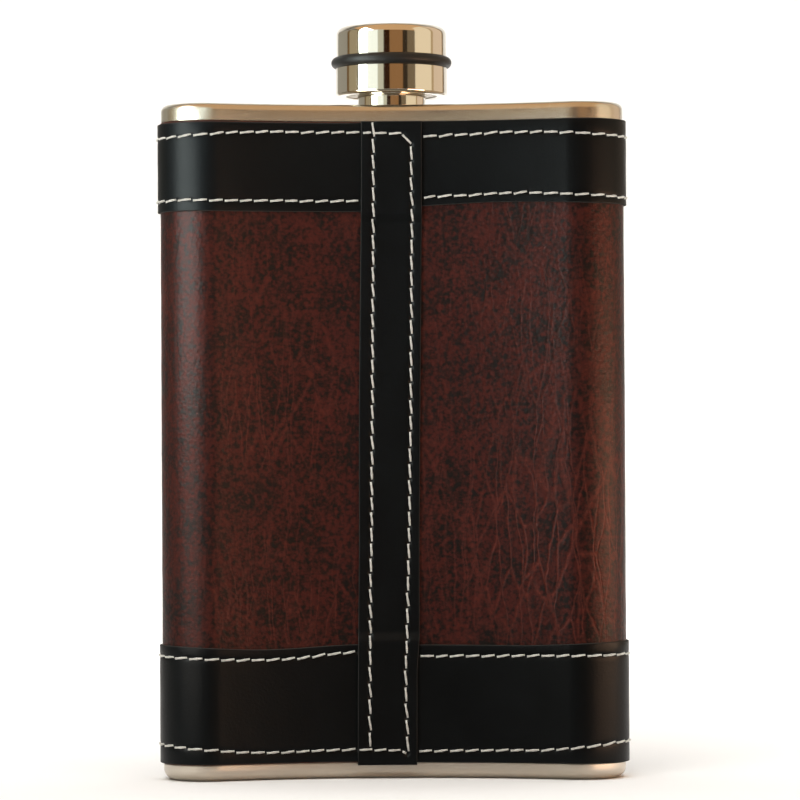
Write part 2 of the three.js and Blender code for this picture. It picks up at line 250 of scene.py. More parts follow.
corners = [(-0.065, -0.1, 0.125), (-0.15, -0.055, 0.125), (-0.15, -0.055, 0.32), (-0.065, -0.1, 0.165)]
cards = [(("white_card", "eef9f5", 14.0), corners)]
for marks, low, high, row in card_rows:
    for start, end, card in zip(marks, marks[1:], row):
        cards.append((card, [(*start, low), (*end, low), (*end, high), (*start, high)]))
cards.append((("near_floor_card", "8c8474", 1.0), level(0.9, -0.3, -0.03, 2 * MM)))
cards.append((("far_floor_card", "3a3631", 1.0), level(1.4, -1.0, -0.3, 2 * MM)))
corners = [(-1.6, -1.0, 0.42), (1.2, -1.0, 0.42), (0.8, 0.3, 1.0), (-0.9, 0.3, 1.0)]
cards.append((("ceiling_card", "e6ba8a", 1.0), corners))
for card, corners in cards:
    board = mesh_piece(card[0], corners, [(0, 1, 2, 3)], glowing(*card))
    board.visible_camera = False
    board.visible_diffuse = False
    board.visible_shadow = False

# ---------------- body
# The wall of the flask is a strip of stainless steel sheet bent to a tube and welded to two end
# plates. The wrap covers it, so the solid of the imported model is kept, in satin steel.
body_width = 93.3 * MM
body_depth = 27.4 * MM
end_radius = 8.8 * MM
back_hollow = 6.6 * MM

end_x = body_width / 2 - end_radius
end_y = -body_depth / 2 + end_radius
back_radius = (end_x**2 - 2 * end_radius * back_hollow + back_hollow**2) / (2 * back_hollow)
back_y = end_y - (back_radius + end_radius - back_hollow)
crown = body_depth - end_radius
front_radius = (end_x**2 + crown**2 - end_radius**2) / (2 * (crown - end_radius))
front_y = end_y - (front_radius - crown)
back_angle = math.atan2(end_y - back_y, end_x)
front_angle = math.atan2(end_y - front_y, end_x)

# The outline's five arcs, anticlockwise from the middle of the back:
# centre, radius (negative where the wall curves in), first and last angle.
outline_arcs = [
    ((0, back_y), -back_radius, math.pi / 2, back_angle),
    ((end_x, end_y), end_radius, back_angle - math.pi, front_angle),
    ((0, front_y), front_radius, front_angle, math.pi - front_angle),
    ((-end_x, end_y), end_radius, math.pi - front_angle, 2 * math.pi - back_angle),
    ((0, back_y), -back_radius, math.pi - back_angle, math.pi / 2),
]
outline_length = sum(abs(r * (b - a)) for _, r, a, b in outline_arcs)


def outline_at(distance):
    """Points on the outline and outward normals, at distances along it."""
    distance = np.mod(np.asarray(distance, float), outline_length)
    points = np.zeros((len(distance), 2))
    normals = np.zeros((len(distance), 2))
    start = 0.0
    for centre, radius, first, last in outline_arcs:
        length = abs(radius * (last - first))
        inside = (distance >= start) & (distance <= start + length)
        angle = first + (last - first) * (distance[inside] - start) / length
        ray = np.stack([np.cos(angle), np.sin(angle)], 1)
        points[inside] = np.array(centre) + abs(radius) * ray
        normals[inside] = math.copysign(1, radius) * ray
        start += length
    return points, normals


def steel(name, colour, lines, detail, depth, rough):
    """Stainless steel with fine lines round it. lines is how many to a metre, across and up."""
    material, tree = new_material(name)
    place = add(tree, "ShaderNodeTexCoord").outputs["Object"]
    stretch = add(tree, "ShaderNodeMapping", {"Vector": place, "Scale": (lines[0], *lines)})
    marks = add(tree, "ShaderNodeTexNoise", {"Vector": stretch, "Scale": 1.0, "Detail": detail})
    relief = add(tree, "ShaderNodeBump", {"Height": marks, "Strength": depth, "Distance": 0.1 * MM})
    rough = add(tree, "ShaderNodeMapRange", {"Value": marks, "To Min": rough[0], "To Max": rough[1]})
    surface = {"Base Color": srgb(colour), "Metallic": 1.0, "Roughness": rough, "Normal": relief}
    shader = add(tree, "ShaderNodeBsdfPrincipled", surface)
    add(tree, "ShaderNodeOutputMaterial", {"Surface": shader})
    return material


# Drawn sheet with a satin finish: soft reflections, drawn out along the body by very fine lines.
satin_steel = steel("satin_stainless_steel", "c6beb2", (60, 4000), 3.0, 0.05, (0.26, 0.4))


def coat(node, material):
    """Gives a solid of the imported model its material."""
    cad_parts[node].data.materials.clear()
    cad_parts[node].data.materials.append(material)


coat("body_wall", satin_steel)
coat("cap_thread_insert", satin_steel)

# ---------------- end plates
# The two ends are pressed from stainless sheet, with a round edge and a short side that the wall
# is welded into. The top is buffed bright. The bottom is satin, its middle pressed up.
sheet_steel = 0.5 * MM
top_edge = 1.4 * MM
bottom_edge = 2.3 * MM
edge_steps = 10
outline_steps = 420


def swept_shell(name, loops, material, closed, uvs=None, cut=None):
    """A shell from loops of points, one for each station. Open shells get an end face at each end."""
    stations, size = loops.shape[:2]
    faces = []
    for i in range(stations if closed else stations - 1):
        here, there = i * size, (i + 1) % stations * size
        for j in range(size):
            k = (j + 1) % size
            faces.append((here + j, there + j, there + k, here + k))
    if not closed:
        faces.append(tuple(range(size)))
        faces.append(tuple(range(len(loops) * size - 1, (len(loops) - 1) * size - 1, -1)))
    flat_uvs = None if uvs is None else uvs.reshape(-1, 2)
    piece = mesh_piece(name, loops.reshape(-1, 3), faces, material, flat_uvs, cut)
    shell = bmesh.new()
    shell.from_mesh(piece.data)
    bmesh.ops.recalc_face_normals(shell, faces=shell.faces)
    if closed:  # the points on the axis of a turned piece
        bmesh.ops.remove_doubles(shell, verts=shell.verts, dist=1e-7)
    shell.to_mesh(piece.data)
    shell.free()
    return piece


def round_body(profile, steps=outline_steps):
    """Loops of a profile of (offset, height) points, carried right round the body."""
    points, normals = outline_at(np.linspace(0, outline_length, steps, endpoint=False))
    offsets = np.array([offset for offset, _ in profile])
    loops = np.empty((steps, len(profile), 3))
    loops[:, :, :2] = points[:, None] + offsets[None, :, None] * normals[:, None]
    loops[:, :, 2] = np.array([height for _, height in profile])
    return loops


def quarter(centre, height, radius, first, last, steps=edge_steps):
    """A round corner of a profile, as (offset, height) points."""
    turn = np.linspace(first, last, steps)
    return [(centre + radius * math.cos(a), height + radius * math.sin(a)) for a in turn]


def pressed_plate(name, profile, hole, material):
    """A plate from the profile of its edge, filled in flat where that begins and ends. A hole
    through it is (middle x, middle y, radius, steps)."""
    loops = round_body(profile)
    stations, size = loops.shape[:2]
    plate = bmesh.new()
    rings = [[plate.verts.new(loops[i, j]) for i in range(stations)] for j in range(size)]
    for low, high in zip(rings, rings[1:]):
        for i in range(stations):
            k = (i + 1) % stations
            plate.faces.new((low[i], low[k], high[k], high[i]))
    sides = []
    for ring in (rings[0], rings[-1]):
        border = [plate.edges.get((ring[i], ring[(i + 1) % stations])) for i in range(stations)]
        rim = []
        if hole:
            middle_x, middle_y, radius, steps = hole
            angles = np.linspace(0, 2 * math.pi, steps, endpoint=False)
            height = ring[0].co.z
            spots = [(middle_x + radius * math.cos(a), middle_y + radius * math.sin(a)) for a in angles]
            rim = [plate.verts.new((*spot, height)) for spot in spots]
            border += [plate.edges.new((rim[i], rim[(i + 1) % steps])) for i in range(steps)]
        sides.append(rim)
        bmesh.ops.triangle_fill(plate, use_beauty=True, edges=border)
    for i in range(len(sides[0])):
        k = (i + 1) % len(sides[0])
        plate.faces.new((sides[0][i], sides[0][k], sides[1][k], sides[1][i]))
    bmesh.ops.recalc_face_normals(plate, faces=plate.faces)
    mesh = bpy.data.meshes.new(name)
    plate.to_mesh(mesh)
    plate.free()
    mesh.materials.append(material)
    mesh.shade_smooth()
    mesh.set_sharp_from_angle(angle=math.radians(40))
    return new_object(name, mesh)


# Polished to a mirror, with a faint haze of fine buffing marks. The top plate is only buffed on a
# wheel: a little darker, and it mirrors less sharply.
polished_steel = steel("mirror_polished_stainless_steel", "d8d2c6", (250, 2500), 4.0, 0.03, (0.05, 0.12))
buffed_steel = steel("buffed_stainless_steel", "c8c1b4", (250, 2500), 4.0, 0.03, (0.2, 0.3))

plate_low, plate_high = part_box("top_plate")
neck_low, neck_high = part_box("threaded_neck")
neck_middle = (neck_low + neck_high) / 2
collar_radius = 6.92 * MM
collar_gap = 0.02 * MM  # between the collar and the hole for it
hole_steps = 96
skirt_trim = 0.45 * MM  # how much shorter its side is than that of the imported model
top = plate_high.z
skirt_end = plate_low.z + skirt_trim
profile = quarter(-top_edge, top - top_edge, top_edge, math.pi / 2, 0)
profile += [(0, skirt_end), (-sheet_steel, skirt_end)]
profile += quarter(-top_edge, top - top_edge, top_edge - sheet_steel, 0, math.pi / 2)
hole = (neck_middle.x, neck_middle.y, collar_radius + collar_gap, hole_steps)
top_end = pressed_plate("top_end_plate", profile, hole, buffed_steel)
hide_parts("top_plate")
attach(top_end, "flask")

foot_rim = 3 * MM
foot_recess = 0.8 * MM
foot_slope = 1.2 * MM  # width of the slope from the rim up to the recess
slope_ease = 0.1 * MM  # how far the slope is rounded off at both ends
rim_end = -bottom_edge - foot_rim
skirt_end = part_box("bottom_plate")[1].z
profile = [
    (rim_end - foot_slope, foot_recess),
    (rim_end - 0.75 * foot_slope, foot_recess - slope_ease),
    (rim_end - 0.25 * foot_slope, slope_ease),
    (rim_end, 0),
]
profile += quarter(-bottom_edge, bottom_edge, bottom_edge, -math.pi / 2, 0)
profile += [(0, skirt_end), (-sheet_steel, skirt_end)]
profile += quarter(-bottom_edge, bottom_edge, bottom_edge - sheet_steel, 0, -math.pi / 2)
profile += [(rim_end, sheet_steel), (rim_end - foot_slope, sheet_steel + foot_recess)]
bottom_end = pressed_plate("bottom_end_plate", profile, None, satin_steel)
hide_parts("bottom_plate")
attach(bottom_end, "flask")

# ---------------- neck
# The neck is turned from stainless tube and welded into the top plate. A smooth collar shows under
# the cap; above it is a right-hand screw thread.
thread_pitch = 1.5 * MM
collar_height = 2.95 * MM
neck_crest = 6.85 * MM
neck_root = 6.15 * MM
neck_bore = 5.3 * MM
collar_ease = 0.3 * MM
lip_round = 0.35 * MM
bore_ease = 0.15 * MM
thread_after = 0.9 * MM  # from the collar to the start of the thread
thread_before = 0.95 * MM  # from the end of the thread to the lip
thread_sunk = 0.1 * MM  # how deep the ridge's foot lies in the neck
runout_steps = 14


def turned(name, profile, centre, material, steps=128):
    """A closed profile of (radius, height) points turned about an upright axis at centre."""
    angles = np.linspace(0, 2 * math.pi, steps, endpoint=False)
    radii = np.array([r for r, _ in profile])
    loops = np.empty((steps, len(profile), 3))
    loops[:, :, 0] = centre[0] + np.cos(angles)[:, None] * radii
    loops[:, :, 1] = centre[1] + np.sin(angles)[:, None] * radii
    loops[:, :, 2] = np.array([z for _, z in profile])
    piece = swept_shell(name, loops, material, closed=True)
    piece.data.set_sharp_from_angle(angle=math.radians(35))
    return piece


def thread_ridge(name, start, end, centre, material, steps_a_turn=72):
    """The neck's ridge of screw thread, from start to end, that runs out into the root at both."""
    turns = (end - start) / thread_pitch
    steps = int(turns * steps_a_turn)
    root, crest, foot = neck_root, neck_crest, neck_root - thread_sunk
    # Radius, and height over the middle of the ridge in mm.
    section = [(foot, -0.45), (root, -0.42), (crest, -0.14), (crest, 0.14), (root, 0.42), (foot, 0.45)]
    loops = np.empty((steps + 1, len(section), 3))
    for i in range(steps + 1):
        angle = turns * 2 * math.pi * i / steps
        run = min(1.0, i / runout_steps, (steps - i) / runout_steps)
        for j, (radius, rise) in enumerate(section):
            if radius == crest:
                radius = root + (crest - root) * (0.03 + 0.97 * run)
            height = start + (end - start) * i / steps + rise * MM
            loops[i, j] = (centre[0] + radius * math.cos(angle), centre[1] + radius * math.sin(angle), height)
    return swept_shell(name, loops, material, closed=False)


neck_foot, lip = neck_low.z, neck_high.z
collar_top = plate_high.z + collar_height
profile = [
    (neck_bore, neck_foot),
    (collar_radius, neck_foot),
    (collar_radius, collar_top - collar_ease),
    (collar_radius - collar_ease, collar_top),
    (neck_root, collar_top),
    (neck_root, lip - lip_round),
    (neck_root - 0.1 * MM, lip - 0.1 * MM),
    (neck_root - lip_round, lip),
    (neck_bore + bore_ease, lip),
    (neck_bore, lip - bore_ease),
]
neck_centre = (neck_middle.x, neck_middle.y)
neck = turned("steel_neck", profile, neck_centre, polished_steel)
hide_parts("threaded_neck")
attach(neck, "flask")
ridge_start = plate_high.z + collar_height + thread_after
ridge_end = lip - thread_before
neck_thread = thread_ridge("neck_thread", ridge_start, ridge_end, neck_centre, polished_steel)
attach(neck_thread, "flask")

# ---------------- cap
# The cap is turned from stainless bar and mirror polished, with a round upper edge and a groove
# for a rubber ring. A threaded bush is pressed into it, over a sealing disc.
cap_low, cap_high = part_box("cap_shell")
ring_low, ring_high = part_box("cap_grip_ring")
cap_bore = 9.25 * MM
cap_radius = 11.35 * MM
cap_upper = 11.2 * MM
ring_radius = 1.12 * MM
ring_room = 0.06 * MM  # between the ring and its groove
ring_middle = (ring_low.z + ring_high.z) / 2
ring_centre = ring_high.x - ring_radius
groove = ring_radius + ring_room
groove_low, groove_high, groove_root = ring_middle - groove, ring_middle + groove, ring_centre - groove
rim_round = 0.55 * MM
top_round = 1.6 * MM
roof_thick = 1.8 * MM
cap_roof = cap_high.z - roof_thick
# A point just past each rounding keeps the walls between them true cylinders in the reflections.
past_round = 0.1 * MM

profile = [(cap_bore, cap_low.z)]
profile += quarter(cap_radius - rim_round, cap_low.z + rim_round, rim_round, -math.pi / 2, 0, 5)
profile += [(cap_radius, cap_low.z + rim_round + past_round), (cap_radius, groove_low)]
profile += [(groove_root, groove_low), (groove_root, groove_high), (cap_upper, groove_high)]
profile += [(cap_upper, cap_high.z - top_round - past_round)]
profile += quarter(cap_upper - top_round, cap_high.z - top_round, top_round, 0, math.pi / 2, 10)
profile += [(0, cap_high.z), (0, cap_roof), (cap_bore, cap_roof)]
cap = turned("polished_cap", profile, neck_centre, polished_steel, steps=160)
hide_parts("cap_shell")
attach(cap, "cap")


def speckled(name, scale, detail, dark, pale, bump, depth, settings):
    """A material with fine specks between two shades, and a bump from them."""
    material, tree = new_material(name)
    place = add(tree, "ShaderNodeTexCoord").outputs["Object"]
    specks = add(tree, "ShaderNodeTexNoise", {"Vector": place, "Scale": scale, "Detail": detail})
    colours = {"Factor": specks, "A": srgb(dark), "B": srgb(pale)}
    shade = add(tree, "ShaderNodeMix", colours, data_type="RGBA")
    relief = add(tree, "ShaderNodeBump", {"Height": specks, "Strength": bump, "Distance": depth})
    surface = {"Base Color": shade, "Normal": relief, **settings}
    shader = add(tree, "ShaderNodeBsdfPrincipled", surface)
    add(tree, "ShaderNodeOutputMaterial", {"Surface": shader})
    return material


# Moulded ring: matt black with a soft sheen and a trace of dust.
finish = {"Roughness": 0.48, "IOR": 1.52, "Specular IOR Level": 0.3}
black_rubber = speckled("black_nitrile_rubber", 1800.0, 3.0, "080808", "121212", 0.2, 0.03 * MM, finish)

turn = np.linspace(0, 2 * math.pi, 24, endpoint=False)
profile = [(ring_centre + ring_radius * math.cos(a), ring_middle + ring_radius * math.sin(a)) for a in turn]
grip_ring = turned("rubber_grip_ring", profile, neck_centre, black_rubber, steps=160)
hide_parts("cap_grip_ring")
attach(grip_ring, "cap")

# Moulded disc: milky, matt, and a little see-through at the surface.
finish = {"Roughness": 0.5, "IOR": 1.41, "Subsurface Weight": 0.15}
white_silicone = speckled("white_silicone", 400.0, 2.0, "dedbd2", "ebe9e2", 0.0, 0.03 * MM, finish)
coat("cap_seal", white_silicone)

# ---------------- brown leather
# The wrap is one sheet of brown waxed cowhide, glued round the steel from the bottom plate to the
# top plate, with its ends butted at the middle of the back. Its cut edges show in a thin paler line,
# partly the raw edge's own colour and partly a painted highlight.
cover_low, cover_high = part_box("brown_leather_cover")
cover_inner = -0.3 * MM
cover_outer = 0.2 * MM
cover_lap = 0.42 * MM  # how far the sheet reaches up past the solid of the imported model
cover_rows = 100
cover_ripple = 0.02 * MM
wave_count = 18
wave_peak = 6  # about as much as the waves add up to
butt_gap = 0.3 * MM
leather_edge = 0.16 * MM
leather_sink = 0.02 * MM  # kept free for the ripples


def leather_wrap(name, stations, inner, rows, outer, low, high, material):
    """A sheet round the body. rows are heights and outer the outer offsets, each (station, row)."""
    points, normals = outline_at(stations)
    corner = np.linspace(0, math.pi / 2, 4)[:-1]
    low, high = np.broadcast_to(low, len(stations)), np.broadcast_to(high, len(stations))
    offsets, heights = [], []
    for a in corner:  # the round lower edge
        offsets.append(outer[:, 0] - leather_edge * (1 - math.sin(a)))
        heights.append(low + leather_edge * (1 - math.cos(a)))
    for j in range(rows.shape[1]):
        offsets.append(outer[:, j])
        heights.append(rows[:, j])
    for a in corner[::-1]:  # the round upper edge
        offsets.append(outer[:, -1] - leather_edge * (1 - math.sin(a)))
        heights.append(high - leather_edge * (1 - math.cos(a)))
    for share in (1.0, 0.75, 0.5, 0.25, 0.0):  # the inner face
        offsets.append(np.full(len(stations), inner))
        heights.append(low + (high - low) * share)
    offsets, heights = np.stack(offsets, 1), np.stack(heights, 1)
    # Marks the cut edges, painted paler by the leathers: partly their raw colour, partly a painted highlight.
    cut = np.ones(heights.shape)
    cut[3:-3, len(corner) : len(corner) + rows.shape[1]] = 0
    loops = np.empty((*offsets.shape, 3))
    loops[:, :, :2] = points[:, None] + offsets[:, :, None] * normals[:, None]
    loops[:, :, 2] = heights
    uvs = np.stack([np.broadcast_to(stations[:, None], heights.shape), heights], 2)
    return swept_shell(name, loops, material, closed=False, uvs=uvs, cut=cut)


# Full grain, waxed and antiqued: fine dark mottling over red-brown, a small pebble grain with painted
# shade along the borders of its pebbles, and pale creases that run mostly up and down. The grain is
# drawn a little coarser than it is.
brown_leather, tree = new_material("brown_waxed_cowhide")
flat = add(tree, "ShaderNodeUVMap", uv_map="surface").outputs[0]
bend = add(tree, "ShaderNodeTexNoise", {"Vector": flat, "Scale": 120.0, "Detail": 3.0}).outputs["Color"]
bend = add(tree, "ShaderNodeVectorMath", {0: bend, 1: (0.5, 0.5, 0.5)}, operation="SUBTRACT")
bend = add(tree, "ShaderNodeVectorMath", {0: bend, "Scale": 2.6 * MM}, operation="SCALE")
bent = add(tree, "ShaderNodeVectorMath", {0: flat, 1: bend}, operation="ADD")
mottle = {"Vector": flat, "Scale": 900.0, "Detail": 5.0, "Roughness": 0.65}
speckle = add(tree, "ShaderNodeTexNoise", mottle)
patch = add(tree, "ShaderNodeTexNoise", {"Vector": bent, "Scale": 130.0, "Detail": 3.0})
pebble = add(tree, "ShaderNodeTexVoronoi", {"Vector": flat, "Scale": 1500.0}, feature="SMOOTH_F1")
both = add(tree, "ShaderNodeMath", {0: patch, 1: 0.45, 2: speckle}, operation="MULTIPLY_ADD")
# The borders of the pebbles are darkened: painted shade of the grain's hollows.
both = add(tree, "ShaderNodeMath", {0: pebble, 1: -0.28, 2: both}, operation="MULTIPLY_ADD")
share = add(tree, "ShaderNodeMapRange", {"Value": both, "From Min": 0.48, "From Max": 0.74})
colours = {"Factor": share, "A": srgb("0b0605"), "B": srgb("3d110a")}
shade = add(tree, "ShaderNodeMix", colours, data_type="RGBA")
# Two sets of creases, the borders of long cells: how far they lean, cells to a metre across and up.
lines = []
for lean, across, up in ((0.1, 260.0, 50.0), (-0.58, 230.0, 62.0)):
    drawn_out = {"Vector": bent, "Rotation": (0, 0, lean), "Scale": (across, up, 1)}
    cells = {"Vector": add(tree, "ShaderNodeMapping", drawn_out), "Scale": 1.0}
    border = add(tree, "ShaderNodeTexVoronoi", cells, feature="DISTANCE_TO_EDGE")
    thin = {"Value": border, "From Min": 0.0, "From Max": 0.055, "To Min": 1.0, "To Max": 0.0}
    lines.append(add(tree, "ShaderNodeMapRange", thin))
where = add(tree, "ShaderNodeTexNoise", {"Vector": flat, "Scale": 45.0, "Detail": 2.0})
creased = {"Value": where, "From Min": 0.4, "From Max": 0.65, "To Min": 0.06, "To Max": 0.42}
where = add(tree, "ShaderNodeMapRange", creased)
# The hide is creased most low down beside the right end.
apart = add(tree, "ShaderNodeVectorMath", {0: flat, 1: (0.036, 0.045, 0)}, operation="DISTANCE")
near = {"Value": apart, "From Min": 6 * MM, "From Max": 42 * MM, "To Min": 0.75, "To Max": 0.0}
fan = add(tree, "ShaderNodeMapRange", near)
where = add(tree, "ShaderNodeMath", {0: where, 1: fan}, operation="MAXIMUM")
crease = add(tree, "ShaderNodeMath", {0: lines[0], 1: lines[1]}, operation="MAXIMUM")
crease = add(tree, "ShaderNodeMath", {0: crease, 1: where}, operation="MULTIPLY")
shown = add(tree, "ShaderNodeMath", {0: crease, 1: speckle}, operation="MULTIPLY")
colours = {"Factor": shown, "A": shade, "B": srgb("6d2c1f")}
shade = add(tree, "ShaderNodeMix", colours, data_type="RGBA")
# The cut edges are mixed to a paler brown: partly the raw edge's colour, partly a painted highlight.
edge = add(tree, "ShaderNodeAttribute", attribute_name="cut_edge_and_highlight").outputs["Fac"]
colours = {"Factor": edge, "A": shade, "B": srgb("5a3327")}
shade = add(tree, "ShaderNodeMix", colours, data_type="RGBA")
grain = add(tree, "ShaderNodeMath", {0: pebble, 1: speckle}, operation="ADD")
grain = add(tree, "ShaderNodeMath", {0: grain, 1: crease}, operation="SUBTRACT")
relief = add(tree, "ShaderNodeBump", {"Height": grain, "Strength": 0.42, "Distance": 0.12 * MM})
surface = {"Base Color": shade, "Roughness": 0.42, "IOR": 1.5, "Specular IOR Level": 0.15, "Normal": relief}
shader = add(tree, "ShaderNodeBsdfPrincipled", surface)
add(tree, "ShaderNodeOutputMaterial", {"Surface": shader})


def ripple(stations, heights, seed, most):
    """Slow waves of the leather, 5 to 16 mm long, for a grid of stations and heights."""
    draws = np.random.default_rng(seed)
    total = 0.0
    for _ in range(wave_count):
        wave = 2 * math.pi / (draws.uniform(5, 16) * MM)
        slope, phase = draws.uniform(0, math.pi), draws.uniform(0, 2 * math.pi)
        total = total + np.sin(wave * (stations * math.cos(slope) + heights * math.sin(slope)) + phase)
    return most * total / wave_peak


stations = np.linspace(butt_gap, outline_length - butt_gap, outline_steps)
cover_foot, cover_top = cover_low.z, cover_high.z + cover_lap
heights = np.linspace(cover_foot + leather_edge, cover_top - leather_edge, cover_rows)
rows = np.broadcast_to(heights, (len(stations), len(heights)))
outer = cover_outer - leather_sink + ripple(stations[:, None], rows, 31, cover_ripple)
brown_cover = leather_wrap(
    "brown_leather_wrap", stations, cover_inner, rows, outer, cover_foot, cover_top, brown_leather
)
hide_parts("brown_leather_cover")
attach(brown_cover, "flask")

# ---------------- black bands
# Two bands of smooth black leather are glued over the brown sheet, top and bottom, and sewn near
# both edges. Each seam pulls the leather down, most of all at the needle holes.
band_inner = 0.25 * MM
band_outer = 0.75 * MM
band_ripple = 0.015 * MM
stitch_pitch = 3.12 * MM
seam_depth = 0.1 * MM
seam_spread = 0.5 * MM
hole_depth = 0.22 * MM
hole_spread = 0.32 * MM
uneven_along = 0.07 * MM
uneven_across = 0.05 * MM
band_step = 0.3 * MM
strip_half = 6.1 * MM
strip_lean = 1.6 * MM
strip_room = 0.2 * MM  # between the seam strip and the first needle hole of a band

# Corrected grain with a pigment finish: nearly smooth, with a faint fine pore and a low sheen. The
# cut edges are rougher than the face and painted paler, partly their raw colour and partly a painted
# highlight.
black_leather, tree = new_material("smooth_black_leather")
flat = add(tree, "ShaderNodeUVMap", uv_map="surface").outputs[0]
fine = {"Vector": flat, "Scale": 1500.0, "Detail": 4.0, "Roughness": 0.6}
pores = add(tree, "ShaderNodeTexNoise", fine)
cloud = add(tree, "ShaderNodeTexNoise", {"Vector": flat, "Scale": 90.0, "Detail": 3.0})
colours = {"Factor": cloud, "A": srgb("020406"), "B": srgb("04080b")}
shade = add(tree, "ShaderNodeMix", colours, data_type="RGBA")
# The cut edges are mixed to a paler grey: partly the raw edge's colour, partly a painted highlight.
edge = add(tree, "ShaderNodeAttribute", attribute_name="cut_edge_and_highlight").outputs["Fac"]
colours = {"Factor": edge, "A": shade, "B": srgb("2a2927")}
shade = add(tree, "ShaderNodeMix", colours, data_type="RGBA")
relief = add(tree, "ShaderNodeBump", {"Height": pores, "Strength": 0.5, "Distance": 0.08 * MM})
rough = add(tree, "ShaderNodeMapRange", {"Value": cloud, "To Min": 0.34, "To Max": 0.46})
rough = add(tree, "ShaderNodeMath", {0: edge, 1: 0.45, 2: rough}, operation="MULTIPLY_ADD")
surface = {"Base Color": shade, "Roughness": rough, "IOR": 1.5, "Specular IOR Level": 0.11, "Normal": relief}
shader = add(tree, "ShaderNodeBsdfPrincipled", surface)
add(tree, "ShaderNodeOutputMaterial", {"Surface": shader})


def drift(marks, places, turns=True):
    """A smooth line through marks in mm, at places in metres. Those that go round the outline are
    taken from the middle of the back, either way."""
    if turns:
        places = (np.asarray(places) + outline_length / 2) % outline_length - outline_length / 2
    knots, heights = np.array(marks).T * MM
    i = np.clip(np.searchsorted(knots, places) - 1, 0, len(knots) - 2)
    share = np.clip((places - knots[i]) / (knots[i + 1] - knots[i]), 0, 1)
    return heights[i] + (heights[i + 1] - heights[i]) * share * share * (3 - 2 * share)


def strip_middle(height):
    """How far the middle of the seam strip lies to the +X side, at a height."""
    return strip_lean * (height - cover_high.z) / (cover_high.z - cover_low.z)


def needle_holes(marks, seed):
    """Stations and heights of a seam's needle holes, from one side of the seam strip to the other."""
    middle = strip_middle(drift(marks, [0.0]))[0]
    start = middle + strip_half + strip_room
    end = outline_length + middle - strip_half - strip_room
    stitches = round((end - start) / stitch_pitch)
    uneven = np.random.default_rng(seed).normal(0, 1, (2, stitches + 1))
    stations = np.linspace(start, end, stitches + 1) + uneven_along * uneven[0]
    return stations, drift(marks, stations) + uneven_across * uneven[1]


def sewn_band(name, node, seams, low_marks, high_marks, seed):
    """A band with a groove and needle holes along each of its two seams."""
    stations = np.linspace(butt_gap, outline_length - butt_gap, int(outline_length / band_step))
    low, high = drift(low_marks, stations), drift(high_marks, stations)
    lines = [np.interp(stations, *seam)[:, None] for seam in seams]
    near = np.array([-1.2, -0.9, -0.65, -0.45, -0.3, -0.15, 0, 0.15, 0.3, 0.45, 0.65, 0.9, 1.2]) * MM
    between = np.linspace(0, 1, 14)[1:-1]
    low_edge, high_edge = low[:, None] + leather_edge, high[:, None] - leather_edge
    start, end = lines[0] + near[-1], lines[1] + near[0]
    rows = np.concatenate(
        [low_edge, lines[0] + near, start + (end - start) * between, lines[1] + near, high_edge], 1
    )
    outer = band_outer - leather_sink + ripple(stations[:, None], rows, seed, band_ripple)
    for (hole_stations, hole_heights), line in zip(seams, lines):
        past = np.maximum(0, np.maximum(hole_stations[0] - stations, stations - hole_stations[-1]))
        outer -= seam_depth * np.exp(-(((rows - line) ** 2 + past[:, None] ** 2) / seam_spread**2))
        nearest = np.abs(stations[:, None] - hole_stations).argmin(1)
        along = (stations - hole_stations[nearest])[:, None]
        up = rows - hole_heights[nearest][:, None]
        outer -= hole_depth * np.exp(-(along**2 + up**2) / hole_spread**2)
    piece = leather_wrap(name, stations, band_inner, rows, outer, low, high, black_leather)
    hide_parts(node)
    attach(piece, "flask")


# Heights in mm, against the distance in mm from the middle of the back.
upper_seam = [(-115, 129.4), (-50, 129.0), (-26, 130.15), (-6, 130.15), (7, 129.4), (25, 129.9)]
upper_seam += [(48, 129.1), (115, 129.4)]
lower_seam = [(-115, 116.7), (-50, 116.4), (-6, 116.3), (-5, 116.3), (5, 117.1), (25, 117.7)]
lower_seam += [(48, 116.8), (115, 116.7)]
top_low = [(-115, 114.7), (-48, 114.2), (-1, 114.2), (1, 115.2), (22, 115.9), (48, 115.3), (115, 114.7)]
top_high = [(-115, 132.2), (-46, 132.0), (-34, 132.1), (-10, 132.1), (-3, 132.3), (8, 132.45)]
top_high += [(40, 132.4), (115, 132.2)]
top_seams = [needle_holes(lower_seam, 3), needle_holes(upper_seam, 4)]
sewn_band("black_top_band", "top_leather_band", top_seams, top_low, top_high, 14)

upper_seam = [(-115, 24.9), (-50, 25.0), (-26, 24.2), (-6, 25.6), (7, 24.7), (48, 25.0), (115, 24.9)]
lower_seam = [(-115, 6.6), (-50, 7.2), (-26, 5.7), (-6, 6.0), (6, 5.6), (28, 5.9), (48, 7.5), (115, 6.6)]
bottom_low = [(-115, 3.4), (-6, 3.5), (6, 3.3), (115, 3.4)]
bottom_high = [(-115, 27.1), (-48, 27.2), (-26, 26.3), (-6, 27.1), (6, 26.95), (25, 26.9), (48, 27.6)]
bottom_high += [(115, 27.1)]
bottom_seams = [needle_holes(lower_seam, 5), needle_holes(upper_seam, 6)]
sewn_band("black_bottom_band", "bottom_leather_band", bottom_seams, bottom_low, bottom_high, 17)

# ---------------- seam strip
# A strip of the same black leather covers the butted ends of the wrap. It is glued down over the
# bands and the brown sheet, so it steps down between them, and it leans a little.
strip_low, strip_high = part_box("back_seam_strip")
strip_lap = 0.55 * MM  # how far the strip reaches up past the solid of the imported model
strip_foot, strip_top = strip_low.z, strip_high.z + strip_lap
strip_thick = 0.5 * MM
